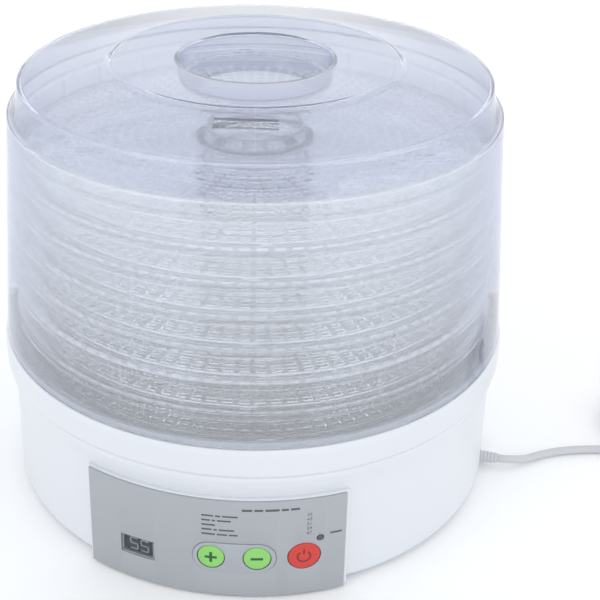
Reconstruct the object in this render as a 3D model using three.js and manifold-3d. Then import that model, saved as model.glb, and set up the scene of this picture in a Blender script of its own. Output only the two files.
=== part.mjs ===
// A round food dehydrator: a white base with a fan heater and a control panel, seven stacking
// trays around a central air shaft, and a clear bell cover that stands on the lip of the base.
// Millimetres, +Z up. The control panel faces -Y and the origin is on the floor under the middle.

import * as THREE from "three";
import { mergeVertices } from "three/addons/utils/BufferGeometryUtils.js";
import Module from "manifold-3d";

const wasm = await Module();
wasm.setup();

// Driving dimensions
const GAP = 0.3;                 // clearance between touching pieces
const SIDES = 40;                // facets of the large round pieces
const TRAY_SIDES = 24;

const FLOOR_GAP = 2;             // underside of the base above the floor
const BODY_R = 160;              // outer wall of the base
const LIP_R = 165;               // flared lip at the top of the base
const BASE_TOP = 106;            // face of the lip that the cover stands on
const WALL = 3;
const EDGE_R = 10;               // rounding of the bottom edge

const POD_R = 163;               // raised pod behind the control panel
const PANEL_R = POD_R + 1.3;     // outer face of the control panel
const PANEL_HALF = 28;           // half of the panel's arc, in degrees
const PANEL_TOP = 70.5;
const FACE_R = 164.9;            // how far the buttons and the bezel stand out

const BUTTON_Z = 29.8;
const GREEN_R = 8;
const RED_R = 9.2;
const PLUS_X = 0;
const MINUS_X = 27;
const POWER_X = 53.9;
const LCD = { x: -45.5, z: 25.3, w: 21.2, h: 13 };
const LCD_ANGLE = -16.2;
const LED = { x: 62.8, z: 41.7, r: 1.9 };
const BOARD_Y = -134;            // front face of the control board

const DECK_Z = 95.3;             // underside of the top deck
const SEAT_Z = 101;              // ring that the first tray stands on

const TRAY_COUNT = 7;
const TRAY_PITCH = 20.5;
const TRAY_R = 151.2;
const TRAY_HOLE_R = 30;
const TRAY_WALL = 1.8;
const TRAY_FLOOR = 2.2;

const COVER_WALL = 2;
const COVER_FOOT_R = 163.7;
const SHOULDER = { r: 154, z: 254 };
const RIM = { r: 146.8, z: 273.2 };
const PLATEAU = { r: 90, z: 283 };
const CUP = { r: 48, z: 269 };   // round finger well in the middle of the cover
const VENT_ANGLE = 5.5;

const SHROUD_R = 62;
const FAN_Z = 56;
const FEET_R = 115;
const SCREW_R = 138;

const CORD_R = 2.7;
const CORD_EXIT = { angle: 87, z: 7, r: 172 };
const COIL = { x: 286, y: 56, inner: 21.7, outer: 38.3, bottom: 1.2, top: 12 };
const PLUG = { x: 321.5, y: 77.5, z: 8.1 };

// Colours
const PAINT = {
  white: { color: 0xe6eaf0, roughness: 0.38, metalness: 0 },
  clear: { color: 0xc9cde4, roughness: 0.12, metalness: 0, transparent: true, opacity: 0.35 },
  silver: { color: 0xaeb3bc, roughness: 0.42, metalness: 0.3 },
  green: { color: 0x8ccd73, roughness: 0.45, metalness: 0 },
  red: { color: 0xc84137, roughness: 0.45, metalness: 0 },
  dark: { color: 0x3b3d42, roughness: 0.5, metalness: 0 },
  steel: { color: 0xb9bcc0, roughness: 0.35, metalness: 1 },
  brass: { color: 0xc8a860, roughness: 0.35, metalness: 1 },
  rubber: { color: 0x2b2b2d, roughness: 0.9, metalness: 0 },
  board: { color: 0x2c6b45, roughness: 0.6, metalness: 0 },
};

const part = new THREE.Group();

// Geometry helpers

function radians(degrees) {
  return degrees * Math.PI / 180;
}

// A point at an angle from the front (-Y), positive towards +X.
function polar(radius, degrees) {
  const a = radians(degrees);
  return [radius * Math.sin(a), -radius * Math.cos(a)];
}

function arc(cr, cz, radius, from, to, steps) {
  const points = [];
  for (let i = 0; i <= steps; i++) {
    const a = radians(from + (to - from) * i / steps);
    points.push([cr + radius * Math.cos(a), cz + radius * Math.sin(a)]);
  }
  return points;
}

// A closed profile of [radius, height] pairs, counter-clockwise, turned about +Z.
function lathe(profile, sides = SIDES) {
  const closed = profile[0][0] === 0 ? profile : [...profile, profile[0]];
  const points = closed.map(([r, z]) => new THREE.Vector2(r, z));
  return new THREE.LatheGeometry(points, sides).rotateX(Math.PI / 2);
}

function ring(inner, outer, bottom, top, sides = SIDES) {
  return lathe([[inner, bottom], [outer, bottom], [outer, top], [inner, top]], sides);
}

function disc(radius, bottom, top, sides = 24) {
  return lathe([[0, bottom], [radius, bottom], [radius, top], [0, top]], sides);
}

function box(x0, x1, y0, y1, z0, z1) {
  const geometry = new THREE.BoxGeometry(x1 - x0, y1 - y0, z1 - z0);
  return geometry.translate((x0 + x1) / 2, (y0 + y1) / 2, (z0 + z1) / 2);
}

// A cylinder along Y, between two values of y.
function rod(radius, x, z, y0, y1, sides = 24) {
  const geometry = new THREE.CylinderGeometry(radius, radius, Math.abs(y1 - y0), sides);
  return geometry.translate(x, (y0 + y1) / 2, z);
}

// A wedge that opens from the axis towards the front.
function wedge(halfAngle, bottom, top) {
  const far = 1.4 * LIP_R;
  const shape = new THREE.Shape();
  shape.moveTo(0, 0);
  shape.lineTo(...polar(far, -halfAngle));
  shape.lineTo(...polar(far, halfAngle));
  return extrude(shape, bottom, top);
}

function extrude(shape, bottom, top, curveSegments = 5) {
  const geometry = new THREE.ExtrudeGeometry(shape, {
    depth: top - bottom, bevelEnabled: false, curveSegments,
  });
  return geometry.translate(0, 0, bottom);
}

function roundedRect(width, height, radius) {
  const shape = new THREE.Shape();
  const x = width / 2 - radius;
  const y = height / 2 - radius;
  shape.absarc(x, y, radius, 0, Math.PI / 2);
  shape.absarc(-x, y, radius, Math.PI / 2, Math.PI);
  shape.absarc(-x, -y, radius, Math.PI, 1.5 * Math.PI);
  shape.absarc(x, -y, radius, 1.5 * Math.PI, 2 * Math.PI);
  return shape;
}

// A prism of a rounded rectangle that runs along Y, for what is cut through the front.
function frontPrism(x, z, width, height, radius, y0, y1) {
  const geometry = extrude(roundedRect(width, height, radius), 0, y1 - y0);
  return geometry.rotateX(Math.PI / 2).translate(x, y1, z);
}

// Booleans

function solid(geometry) {
  const bare = geometry.clone();
  bare.deleteAttribute("normal");
  bare.deleteAttribute("uv");
  const merged = mergeVertices(bare, 1e-4);
  const index = merged.index.array;
  const triangles = [];
  for (let i = 0; i < index.length; i += 3) {
    const [a, b, c] = [index[i], index[i + 1], index[i + 2]];
    if (a !== b && b !== c && c !== a) {
      triangles.push(a, b, c);
    }
  }
  return new wasm.Manifold(new wasm.Mesh({
    numProp: 3,
    vertProperties: new Float32Array(merged.attributes.position.array),
    triVerts: new Uint32Array(triangles),
  }));
}

function union(...geometries) {
  return geometries.map(solid).reduce((sum, next) => sum.add(next));
}

function cut(body, ...tools) {
  return tools.map(solid).reduce((left, tool) => left.subtract(tool), body);
}

function common(first, second) {
  return solid(first).intersect(solid(second));
}

function toGeometry(shape) {
  if (shape instanceof THREE.BufferGeometry) {
    return shape;
  }
  const mesh = shape.getMesh();
  const geometry = new THREE.BufferGeometry();
  geometry.setAttribute("position", new THREE.BufferAttribute(mesh.vertProperties, 3));
  geometry.setIndex(new THREE.BufferAttribute(mesh.triVerts, 1));
  geometry.computeVertexNormals();
  return geometry;
}

function add(name, shape, paint) {
  const mesh = new THREE.Mesh(toGeometry(shape), new THREE.MeshStandardMaterial(PAINT[paint]));
  mesh.name = name;
  part.add(mesh);
  return mesh;
}

function around(count, start, make) {
  return Array.from({ length: count }, (_, i) => make(start + i * 360 / count, i));
}

function placed(geometry, degrees, radius = 0) {
  const [x, y] = polar(radius, degrees);
  return geometry.rotateZ(radians(degrees)).translate(x, y, 0);
}

// Base

function shellProfile() {
  const low = FLOOR_GAP;
  const r = BODY_R - EDGE_R;
  const outer = arc(r, low + EDGE_R, EDGE_R, -90, 0, 4);
  const inner = arc(r, low + EDGE_R, EDGE_R - WALL, 0, -90, 2);
  return [
    [r - 4, low], ...outer,
    [BODY_R, 71], [BODY_R + 1, 77], [LIP_R - 1.2, 84],
    [LIP_R - 1.2, 86.2], [LIP_R - 2, 87], [LIP_R, 88.2],
    [LIP_R, 103], [LIP_R - 1, BASE_TOP],
    [160.9, BASE_TOP], [160.9, 109.5], [157.5, 109.5],
    [157.5, DECK_Z - GAP], [152, DECK_Z - GAP], [152, 92], [157, 87],
    ...inner, [r - 4, low + WALL],
  ];
}

function screwBoss(degrees) {
  const post = placed(disc(5, FLOOR_GAP + WALL + GAP, 40, 12), degrees, SCREW_R);
  const rib = placed(box(-1.5, 1.5, -158, -SCREW_R - 2, 14, 40), degrees);
  return [post, rib];
}

function screwHole(degrees) {
  return placed(disc(1.9, -5, 22, 12), degrees, SCREW_R);
}

function buttonHoles(clearance, y0) {
  return [[PLUS_X, GREEN_R], [MINUS_X, GREEN_R], [POWER_X, RED_R]].map(
    ([x, r]) => rod(r + clearance, x, BUTTON_Z, y0, -170));
}

function cordHole() {
  const hole = new THREE.CylinderGeometry(4.6, 4.6, 30, 16);
  const [x, y] = polar(BODY_R, CORD_EXIT.angle);
  return hole.rotateZ(Math.PI / 2).rotateZ(radians(CORD_EXIT.angle - 90)).translate(x, y, CORD_EXIT.z);
}

function baseShell() {
  const podTop = PANEL_TOP + 0.6;
  const podRing = ring(BODY_R - 1.8, POD_R, FLOOR_GAP, podTop);
  const pod = common(podRing, wedge(PANEL_HALF + 0.9, FLOOR_GAP, podTop));
  const bosses = around(4, 45, screwBoss).flat();
  const body = union(lathe(shellProfile()), ...bosses).add(pod);
  return cut(
    body,
    ...around(4, 45, screwHole),
    ...buttonHoles(0.4, -120),
    rod(LED.r + 0.3, LED.x, LED.z, -120, -170, 12),
    placed(box(-9.8, 9.8, -175, -120, LCD.z - 5.7, LCD.z + 5.7), LCD_ANGLE),
    cordHole(),
  );
}

function bottomCover() {
  const top = FLOOR_GAP + WALL;
  const slots = around(12, 15, (a) => placed(box(-2.5, 2.5, -95, -52, -5, 10), a));
  const counterbores = around(4, 45, (a) => placed(disc(4, -5, FLOOR_GAP + 1.6, 12), a, SCREW_R));
  const pegHoles = around(4, 45, (a) => placed(disc(3.3, -5, 10, 12), a, FEET_R));
  const posts = [-56, 56].map((x) => box(x - 3, x + 3, BOARD_Y + 2.2, BOARD_Y + 7, top - 1, 60));
  return cut(
    union(disc(145.7, FLOOR_GAP, top, SIDES), ...posts),
    ...slots, ...counterbores, ...pegHoles, ...around(4, 45, screwHole),
  );
}

function foot() {
  return lathe([[0, 0], [8, 0], [9, 1], [9, FLOOR_GAP - GAP], [3, FLOOR_GAP - GAP], [3, 7.5], [0, 7.5]], 16);
}

function screw() {
  const head = FLOOR_GAP + 0.3;
  return lathe([[0, head], [3.5, head], [3.5, head + 1], [1.6, head + 1], [1.6, 18], [0, 18]], 12);
}

function topDeck() {
  return lathe([
    [46, DECK_Z], [157.2, DECK_Z], [157.2, DECK_Z + 2.5],
    [151.5, DECK_Z + 2.5], [151.5, SEAT_Z], [147.6, SEAT_Z], [147.6, DECK_Z + 2.5],
    [46, DECK_Z + 2.5],
  ]);
}

function airGrille() {
  const seat = DECK_Z + 2.5 + GAP;
  const body = lathe([[0, DECK_Z], [45.7, DECK_Z], [45.7, seat], [50, seat], [50, seat + 1.6], [0, seat + 1.6]]);
  const slots = around(12, 0, (a) => placed(box(-2, 2, -41, -15, 80, 110), a));
  return cut(solid(body), ...slots);
}

// Heater and fan

function heaterFrame() {
  const reach = SHROUD_R - 3;
  return union(box(-reach, reach, -0.75, 0.75, 72, 83), box(-0.75, 0.75, -reach, reach, 72, 83));
}

class Spiral extends THREE.Curve {
  getPoint(t, target = new THREE.Vector3()) {
    const a = 4 * Math.PI * t + 0.4;
    const r = 24 + 24 * t;
    return target.set(r * Math.cos(a), r * Math.sin(a), 83 + GAP + 2);
  }
}

function circleShape(radius, sides) {
  const points = around(sides, 0, (a) => new THREE.Vector2(...polar(radius, a)));
  return new THREE.Shape(points);
}

function tube(curve, radius, steps, sides) {
  return new THREE.ExtrudeGeometry(circleShape(radius, sides), {
    steps, extrudePath: curve, bevelEnabled: false,
  });
}

function fanMotor() {
  return lathe([[0, 14], [26, 14], [26, 42], [8, 44], [8, 49], [3.4, 49], [3.4, 27], [0, 27]], 24);
}

function motorBracket() {
  const legs = around(3, 0, (a) => placed(box(-5, 5, -38, -34, FLOOR_GAP + WALL + GAP, 36), a));
  const pads = around(3, 0, (a) => placed(box(-5, 5, -48, -34, FLOOR_GAP + WALL + GAP, 8), a));
  return union(ring(26.5, 40, 34, 37, 24), ...legs, ...pads);
}

function impeller() {
  const blades = around(7, 0, (a) => {
    const blade = new THREE.BoxGeometry(1.8, 42, 16);
    return placed(blade.rotateY(radians(52)).translate(0, -31, FAN_Z + 7), a);
  });
  const hub = lathe([[3.3, FAN_Z], [12, FAN_Z], [12, FAN_Z + 12], [9, FAN_Z + 14], [3.3, FAN_Z + 14]], 24);
  const bore = disc(3.3, FAN_Z - 20, FAN_Z + 40, 24);
  return cut(union(hub, ...blades), bore);
}

// Controls

function panelBlank(inner, outer) {
  return ring(inner, outer, 0, 90);
}

function controlPanel() {
  const inside = wedge(PANEL_HALF, FLOOR_GAP - 0.2, PANEL_TOP);
  const bezelHole = frontPrism(13.5, BUTTON_Z, 49.6, 21.2, 10.6, -175, -120);
  return cut(
    common(panelBlank(POD_R + GAP, PANEL_R), inside),
    bezelHole,
    rod(RED_R + 0.4, POWER_X, BUTTON_Z, -120, -175),
    rod(LED.r + 0.3, LED.x, LED.z, -120, -175, 12),
    box(LCD.x - LCD.w / 2 - GAP, LCD.x + LCD.w / 2 + GAP, -175, -120,
      LCD.z - LCD.h / 2 - GAP, LCD.z + LCD.h / 2 + GAP),
  );
}

function buttonBezel() {
  const plate = frontPrism(13.5, BUTTON_Z, 49, 20.6, 10.3, -175, -120);
  return cut(
    common(panelBlank(POD_R + GAP, FACE_R - 0.3), plate),
    rod(GREEN_R + 0.4, PLUS_X, BUTTON_Z, -120, -175),
    rod(GREEN_R + 0.4, MINUS_X, BUTTON_Z, -120, -175),
  );
}

function button(x, radius, flange) {
  const cap = common(disc(FACE_R, 0, 60, SIDES), rod(radius, x, BUTTON_Z, -175, BOARD_Y - 6.5));
  return cap.add(solid(rod(flange, x, BUTTON_Z, BOARD_Y - 8.5, BOARD_Y - 6.5)));
}

function pushSwitch(x) {
  const body = box(x - 3.5, x + 3.5, BOARD_Y - 3.5, BOARD_Y - GAP, BUTTON_Z - 3.5, BUTTON_Z + 3.5);
  return union(body, rod(1.6, x, BUTTON_Z, BOARD_Y - 5.2, BOARD_Y - 3, 12));
}

function lcdWindow() {
  const face = box(LCD.x - LCD.w / 2, LCD.x + LCD.w / 2, -175, -120, LCD.z - LCD.h / 2, LCD.z + LCD.h / 2);
  return common(panelBlank(POD_R + GAP, PANEL_R), face);
}

function lcdModule() {
  return union(
    box(LCD.x - 11, LCD.x + 11, -144, BOARD_Y - GAP, LCD.z - 8, LCD.z + 8),
    placed(box(-9.3, 9.3, -162, -147, LCD.z - 5.2, LCD.z + 5.2), LCD_ANGLE),
  );
}

// Trays

function trayProfile(z) {
  const top = z + TRAY_PITCH - GAP;
  const inner = TRAY_R - TRAY_WALL;
  return [
    [TRAY_HOLE_R, z], [143.5, z], [143.5, z - 3], [146.5, z - 3], [146.5, z],
    [TRAY_R, z], [TRAY_R, top], [inner, top], [inner, z + TRAY_FLOOR],
    [TRAY_HOLE_R + 2, z + TRAY_FLOOR], [TRAY_HOLE_R + 2, z + 12], [TRAY_HOLE_R, z + 12],
  ];
}

function tray(z) {
  const slots = around(8, 22.5, (a) => placed(box(-2.2, 2.2, -128, -52, z - 5, z + 8), a));
  return cut(solid(lathe(trayProfile(z), TRAY_SIDES)), ...slots);
}

// Cover

function coverProfile() {
  const foot = BASE_TOP + GAP;
  const t = COVER_WALL;
  return [
    [COVER_FOOT_R - t, foot], [COVER_FOOT_R, foot],
    [SHOULDER.r, SHOULDER.z], [SHOULDER.r - 2, SHOULDER.z + 2.6],
    [RIM.r + 1, RIM.z - 9], [RIM.r, RIM.z], [RIM.r - 2, RIM.z + 0.8],
    [PLATEAU.r + 3, PLATEAU.z - 2.4], [PLATEAU.r, PLATEAU.z],
    [CUP.r, PLATEAU.z], [CUP.r - 1.5, CUP.z], [0, CUP.z],
    [0, CUP.z - t], [CUP.r, CUP.z - t], [CUP.r + t, PLATEAU.z - t],
    [PLATEAU.r - 1, PLATEAU.z - t], [PLATEAU.r + 2, PLATEAU.z - 2.4 - t],
    [RIM.r - 3, RIM.z - 1.4], [RIM.r - t, RIM.z - 3], [RIM.r + 1 - t, RIM.z - 9.4],
    [SHOULDER.r - 2 - t, SHOULDER.z + 1.4], [SHOULDER.r - t, SHOULDER.z - 0.8],
  ];
}

function cover() {
  const profile = coverProfile();
  const onAxis = profile.findIndex(([r]) => r === 0);
  const ordered = [...profile.slice(onAxis + 1), ...profile.slice(0, onAxis + 1)];
  const vent = placed(box(-18, 18, -109, -99, 260, 300), VENT_ANGLE);
  return cut(solid(lathe(ordered)), vent);
}

// Cord and plug

function strainRelief() {
  const length = 24;
  const body = lathe([[0, 0], [4.2, 0], [4.2, length - 12], [3.4, length], [0, length]], 16);
  const [x, y] = polar(CORD_EXIT.r - length, CORD_EXIT.angle);
  return body.rotateX(Math.PI / 2).rotateZ(radians(CORD_EXIT.angle)).translate(x, y, CORD_EXIT.z);
}

function cordRoute() {
  const start = polar(CORD_EXIT.r + GAP + 0.1, CORD_EXIT.angle);
  const straight = polar(CORD_EXIT.r + 5, CORD_EXIT.angle);
  const rest = CORD_R + 0.2;
  return new THREE.CatmullRomCurve3([
    new THREE.Vector3(...start, CORD_EXIT.z),
    new THREE.Vector3(...straight, CORD_EXIT.z),
    new THREE.Vector3(190, -3.5, 4.4),
    new THREE.Vector3(203, 6, rest),
    new THREE.Vector3(216, 12, rest),
    new THREE.Vector3(230, 16, rest),
    new THREE.Vector3(244, 18.5, rest),
    new THREE.Vector3(256, 19.7, rest),
  ], false, "centripetal");
}

function cordCoil() {
  const { inner, outer, bottom, top } = COIL;
  return ring(inner, outer, bottom, top, 32).translate(COIL.x, COIL.y, 0);
}

function cordTie() {
  const across = COIL.outer - COIL.inner;
  const outside = roundedRect(across + 3.4, COIL.top + 1.2, 2);
  const inside = roundedRect(across + 1.8, COIL.top - COIL.bottom + 0.8, 1);
  outside.holes.push(inside);
  const band = extrude(outside, -4, 4, 2).rotateX(Math.PI / 2).rotateZ(Math.PI / 2);
  const middle = (COIL.outer + COIL.inner) / 2;
  return band.translate(COIL.x, COIL.y + middle, (COIL.top + COIL.bottom) / 2);
}

function plugBody() {
  const grip = extrude(roundedRect(22, 15.6, 5), 14, 42);
  const neck = lathe([[0, 0], [3.4, 0], [4.6, 15], [0, 15]], 16);
  const body = union(grip, neck);
  const pinHoles = [-6.35, 6.35].map((x) => box(x - 1.1, x + 1.1, -3.6, 3.6, 36, 50));
  return toGeometry(cut(body, ...pinHoles)).rotateX(-Math.PI / 2).translate(PLUG.x, PLUG.y, PLUG.z);
}

function plugPin(side) {
  const x = PLUG.x + side * 6.35;
  return box(x - 0.75, x + 0.75, PLUG.y + 36.4, PLUG.y + 59, PLUG.z - 3.2, PLUG.z + 3.2);
}

// Assembly

add("base_shell", baseShell(), "white");
add("bottom_cover", bottomCover(), "white");
around(4, 45, (a, i) => add(`foot_${i + 1}`, placed(foot(), a, FEET_R), "rubber"));
around(4, 45, (a, i) => add(`bottom_screw_${i + 1}`, placed(screw(), a, SCREW_R), "steel"));
add("top_deck", topDeck(), "white");
add("air_grille", airGrille(), "white");

add("heater_shroud", ring(SHROUD_R - 1.5, SHROUD_R, 50, DECK_Z - GAP, 24), "steel");
add("heater_frame", heaterFrame(), "dark");
add("heating_coil", tube(new Spiral(), 1.6, 36, 6), "steel");
add("thermal_fuse", rod(2.4, 3.4, 77, 32, 46, 12), "steel");
add("temperature_probe", disc(2.2, 84, DECK_Z - GAP, 12).translate(-50, 20, 0), "steel");
add("fan_motor", fanMotor(), "dark");
add("motor_bracket", motorBracket(), "steel");
add("motor_shaft", disc(3, 27 + GAP, FAN_Z + 13, 24), "steel");
add("fan_impeller", impeller(), "dark");

add("control_panel", controlPanel(), "silver");
add("button_bezel", buttonBezel(), "silver");
add("button_plus", button(PLUS_X, GREEN_R, GREEN_R + 1.4), "green");
add("button_minus", button(MINUS_X, GREEN_R, GREEN_R + 1.4), "green");
add("button_power", button(POWER_X, RED_R, RED_R + 1), "red");
add("switch_plus", pushSwitch(PLUS_X), "dark");
add("switch_minus", pushSwitch(MINUS_X), "dark");
add("switch_power", pushSwitch(POWER_X), "dark");
add("lcd_window", lcdWindow(), "clear");
add("lcd_module", lcdModule(), "dark");
add("led_indicator", rod(LED.r, LED.x, LED.z, -152.3, BOARD_Y - GAP, 12), "clear");
add("control_board", box(-68, 70, BOARD_Y, BOARD_Y + 1.6, 12, 60), "board");

for (let i = 0; i < TRAY_COUNT; i++) {
  add(`tray_${i + 1}`, tray(SEAT_Z + GAP + i * TRAY_PITCH), "clear");
}
add("cover", cover(), "clear");

add("strain_relief", strainRelief(), "white");
add("power_cord", tube(cordRoute(), CORD_R, 16, 8), "white");
add("cord_coil", cordCoil(), "white");
add("cord_tie", cordTie(), "dark");
add("plug_body", plugBody(), "white");
add("plug_pin_left", plugPin(-1), "brass");
add("plug_pin_right", plugPin(1), "brass");

export default part;
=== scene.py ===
import math

import bmesh
import bpy
from mathutils import Matrix, Vector


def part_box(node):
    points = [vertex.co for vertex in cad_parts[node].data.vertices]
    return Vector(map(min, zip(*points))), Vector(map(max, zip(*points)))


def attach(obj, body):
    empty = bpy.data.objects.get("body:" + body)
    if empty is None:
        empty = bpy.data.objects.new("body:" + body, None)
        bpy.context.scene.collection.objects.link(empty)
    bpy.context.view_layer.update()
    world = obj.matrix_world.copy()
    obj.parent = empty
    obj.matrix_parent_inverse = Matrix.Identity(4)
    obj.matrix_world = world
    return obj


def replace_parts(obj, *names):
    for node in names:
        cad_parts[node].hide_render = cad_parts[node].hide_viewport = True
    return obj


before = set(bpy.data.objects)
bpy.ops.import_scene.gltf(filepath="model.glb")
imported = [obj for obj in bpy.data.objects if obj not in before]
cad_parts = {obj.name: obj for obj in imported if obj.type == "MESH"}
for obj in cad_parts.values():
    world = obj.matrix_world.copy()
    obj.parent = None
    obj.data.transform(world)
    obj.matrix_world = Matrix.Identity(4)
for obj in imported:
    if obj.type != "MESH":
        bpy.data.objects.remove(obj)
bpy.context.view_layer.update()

MM = 0.001

# ---------------------------------------------------------------- sizes, in metres

BASE_LOW, BASE_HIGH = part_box("base_shell")
COVER_LOW, COVER_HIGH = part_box("cover")
DECK_LOW, DECK_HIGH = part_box("top_deck")
TRAYS = [n for n in sorted(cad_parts) if n.startswith("tray_")]
TRAY_LOW, TRAY_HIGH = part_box("tray_1")

LIP_R = BASE_HIGH.x
BODY_R = LIP_R - 5 * MM
BASE_TOP = BASE_HIGH.z - 3.5 * MM
POD_R = LIP_R - 2 * MM
PANEL_R = POD_R + 1.3 * MM
PANEL_HALF = math.radians(28)
PANEL_LOW, PANEL_HIGH = (v.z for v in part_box("control_panel"))
FACE_R = LIP_R - 0.1 * MM
FRONT_CUT = (-0.18, -0.12)      # from before the panel to behind the wall, along Y
MARK_LIFT = 0.02 * MM
PRINT_LIFT = 0.06 * MM
FOLD_STEP = 1 * MM              # widest flat strip of a mark bent onto a curved face
CAP_GAP = 0.4 * MM
LAMP_HOLE_R = 2.2 * MM

BUTTONS = {                     # node: (body, radius of the cap)
    "button_plus": ("plus", 8.0 * MM),
    "button_minus": ("minus", 8.0 * MM),
    "button_power": ("power", 9.2 * MM),
}

LCD_ANGLE = math.radians(-16.2)
LCD_R = 161.95 * MM

COVER_FOOT_R = COVER_HIGH.x
COVER_WALL = 2 * MM
COVER_TOP = COVER_HIGH.z
TRAY_R = TRAY_HIGH.x
TRAY_PITCH = 20.5 * MM
TRAY_FOOT = 3 * MM
TRAY_INNER_R = TRAY_R - 1.9 * MM
CHIMNEY_R = 32 * MM             # outside of the collar round a tray's air hole
SPOKES = 96                     # spokes of a tray's perforated floor
FLOOR_RINGS = 15
COARSE_R = 75 * MM              # inside this, every other spoke is left out

CORD_D = 5.4 * MM
COIL_CENTRE = Vector((286, 56, 0)) * MM
COIL_INNER_R, COIL_OUTER_R = 24.5 * MM, 35.5 * MM
COIL_LOW_Z, COIL_HIGH_Z = 3.9 * MM, 9.3 * MM
COIL_TURNS = 4.25               # two in, a quarter up, two out
EXIT_ANGLE = math.radians(87)
EXIT_R = 172 * MM
EXIT_Z = 7 * MM

CAMERA = {
    "azimuth": math.radians(8.2), "pitch": math.radians(24.85), "roll": math.radians(0.57),
    "distance": 0.7467, "height": 0.5306, "lens": 75.84, "shift": (0.076, -0.1667),
}


def polar(radius, angle, z=0.0):
    """A point at an angle from the front (-Y), positive towards +X."""
    return Vector((radius * math.sin(angle), -radius * math.cos(angle), z))


# ---------------------------------------------------------------- materials

SLANT_POWER = 2.5               # how sharply a clear plastic darkens towards its edges: partly deeper tint, partly painted shade


class Nodes:
    """A small helper that lays out one Principled material."""

    def __init__(self, name, **sockets):
        self.material = bpy.data.materials.new(name)
        self.material.use_nodes = True
        self.tree = self.material.node_tree
        self.shader = self.tree.nodes["Principled BSDF"]
        for key, value in sockets.items():
            self.shader.inputs[key.replace("_", " ")].default_value = value

    def add(self, kind, **settings):
        node = self.tree.nodes.new(kind)
        for key, value in settings.items():
            if key in node.inputs:
                node.inputs[key].default_value = value
            else:
                setattr(node, key, value)
        return node

    def link(self, output, socket):
        self.tree.links.new(output, socket)

    def noise(self, scale, detail=3.0, stretch=None):
        coordinates = self.add("ShaderNodeTexCoord").outputs["Object"]
        if stretch:
            mapping = self.add("ShaderNodeMapping")
            mapping.inputs["Scale"].default_value = stretch
            self.link(coordinates, mapping.inputs["Vector"])
            coordinates = mapping.outputs["Vector"]
        node = self.add("ShaderNodeTexNoise", Scale=scale, Detail=detail)
        self.link(coordinates, node.inputs["Vector"])
        return node.outputs["Fac"]

    def ramp(self, factor, low, high, socket):
        """Drives a number socket between two values by a pattern."""
        node = self.add("ShaderNodeMapRange")
        node.inputs["To Min"].default_value = low
        node.inputs["To Max"].default_value = high
        self.link(factor, node.inputs["Value"])
        self.link(node.outputs["Result"], self.shader.inputs[socket])

    def mix(self, factor, first, second):
        """Sets the colour to a mix of two ends, each a colour or a socket."""
        node = self.add("ShaderNodeMix", data_type="RGBA")
        ends = [s for s in node.inputs if s.type == "RGBA"]
        for end, value in zip(ends, (first, second)):
            if isinstance(value, (tuple, list)):
                end.default_value = (*value, 1)
            else:
                self.link(value, end)
        self.link(factor, node.inputs["Factor"])
        out = [s for s in node.outputs if s.type == "RGBA"][0]
        self.link(out, self.shader.inputs["Base Color"])

    def deepen_with_painted_shade(self, edge):
        """Mixes the colour towards a deeper one where the surface is seen at a slant: partly the longer
        path through tinted plastic, partly painted shade on the edges.
        """
        plain = self.shader.inputs["Base Color"].links[0].from_socket
        slant = self.add("ShaderNodeMath", operation="POWER")
        slant.inputs[1].default_value = SLANT_POWER
        self.link(self.add("ShaderNodeLayerWeight", Blend=0.5).outputs["Facing"], slant.inputs[0])
        self.mix(slant.outputs["Value"], plain, edge)

    def bump(self, height, strength, distance=0.0002):
        node = self.add("ShaderNodeBump", Strength=strength, Distance=distance)
        self.link(height, node.inputs["Height"])
        self.link(node.outputs["Normal"], self.shader.inputs["Normal"])


def plastic(name, dark, light, rough=(0.3, 0.42), grain=900.0, strength=0.08, **sockets):
    """Moulded plastic: slight colour drift, uneven gloss and a fine spark-eroded grain."""
    m = Nodes(name, **sockets)
    m.mix(m.noise(9.0), dark, light)
    m.ramp(m.noise(45.0), rough[0], rough[1], "Roughness")
    m.bump(m.noise(grain, 2.0), strength)
    return m.material


def clear_plastic(name, dark, light, rough, ior, haze=1.0, edge=None):
    """Clear moulded plastic with faint flow marks.

    haze is the share of light let through: under 1 the plastic is milky.
    edge is the deeper colour where it is looked through at a slant: partly real tint, partly painted shade.
    """
    m = Nodes(name, IOR=ior, Transmission_Weight=haze)
    m.mix(m.noise(14.0), dark, light)
    if edge:
        m.deepen_with_painted_shade(edge)
    m.ramp(m.noise(30.0), rough[0], rough[1], "Roughness")
    m.bump(m.noise(55.0, 1.0), 0.04)
    return m.material


def metal(name, dark, light, rough=(0.25, 0.45), stretch=(1, 1, 14)):
    """Drawn or plated metal with a fine grain that runs one way."""
    m = Nodes(name, Metallic=1.0)
    grain = m.noise(260.0, 2.0, stretch)
    m.mix(grain, dark, light)
    m.ramp(grain, rough[0], rough[1], "Roughness")
    m.bump(grain, 0.1)
    return m.material


WHITE = plastic("base_white", (0.645, 0.67, 0.705), (0.685, 0.71, 0.745), IOR=1.5)
DECK_WHITE = plastic("deck_white", (0.91, 0.92, 0.95), (0.94, 0.95, 0.975))
# The edge colours darken the cover where it is seen at a slant: partly real tint, partly painted shade.
CLEAR = clear_plastic("cover_clear", (0.925, 0.955, 1.0), (0.95, 0.975, 1.0), (0.015, 0.05), 1.46, 0.83,
                      edge=(0.44, 0.48, 0.78))
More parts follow.
